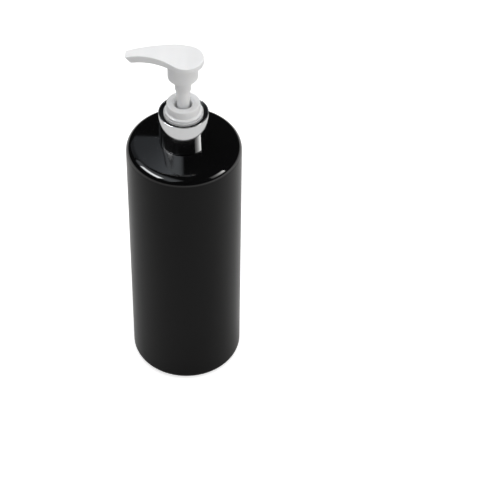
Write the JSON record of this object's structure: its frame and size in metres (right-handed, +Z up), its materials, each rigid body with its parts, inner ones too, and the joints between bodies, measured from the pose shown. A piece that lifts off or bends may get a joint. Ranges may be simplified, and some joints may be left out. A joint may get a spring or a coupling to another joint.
{
  "type": "pump bottle",
  "caption": "Cylindrical refillable massage oil bottle with a metal-shelled screw collar and a spring-return dispensing pump with a curved spout head.",
  "frame": {"origin": "centre of the standing ring, on the table plane under the bottle axis", "axes": "+Z up along the bottle axis; the spout points along -X; -Y is the side nearer the viewer of the picture"},
  "size_m": [0.066, 0.066, 0.2318],
  "materials": {
    "bottle_black": "glossy blow-moulded PET",
    "gasket_foam": "matt foamed PE",
    "closure_black": "satin PP",
    "shell_silver": "bright anodised",
    "natural_pp": "satin natural PP",
    "pump_white": "semi-gloss PP",
    "tube_pe": "satin natural PE",
    "steel": "bright drawn"
  },
  "bodies": {
    "bottle": {"bottle": "bottle_black"},
    "pump_unit": {"pump_cylinder": "natural_pp", "chaplet": "pump_white", "neck_gasket": "gasket_foam", "dip_tube": "tube_pe", "ball_retainer": "natural_pp"},
    "collar": {"closure": "closure_black", "collar_shell": "shell_silver"},
    "spring": {"return_spring": "steel"},
    "plunger": {"actuator_head": "pump_white", "upper_stem": "pump_white", "lower_stem": "pump_white"},
    "piston": {"piston_seal": "tube_pe"},
    "ball": {"inlet_ball": "steel"}
  },
  "joints": [
    {"name": "pump_rise", "type": "slide", "parent": "bottle", "child": "pump_unit", "axis": [0, 0, 1], "range_m": [0, 0.00635]},
    {"name": "collar_turn", "type": "hinge", "parent": "pump_unit", "child": "collar", "pos_m": [0, 0, 0.18], "axis": [0, 0, 1], "range_deg": [0, 720]},
    {"name": "head_swivel", "type": "hinge", "parent": "pump_unit", "child": "spring", "pos_m": [0, 0, 0.2], "axis": [0, 0, 1], "continuous": true},
    {"name": "pump_stroke", "type": "slide", "parent": "spring", "child": "plunger", "axis": [0, 0, -1], "range_m": [0, 0.0185], "stiffness_N_per_m": 1000, "springref_m": -0.003, "deforming": ["return_spring"]},
    {"name": "piston_slip", "type": "slide", "parent": "plunger", "child": "piston", "axis": [0, 0, 1], "range_m": [0, 0.00145]},
    {"name": "ball_lift", "type": "slide", "parent": "pump_unit", "child": "ball", "axis": [0, 0, 1], "range_m": [0, 0.0012]}
  ],
  "couplings": [
    {"joint": "collar_turn", "follows": "pump_rise", "rad_per_m": 1979}
  ]
}
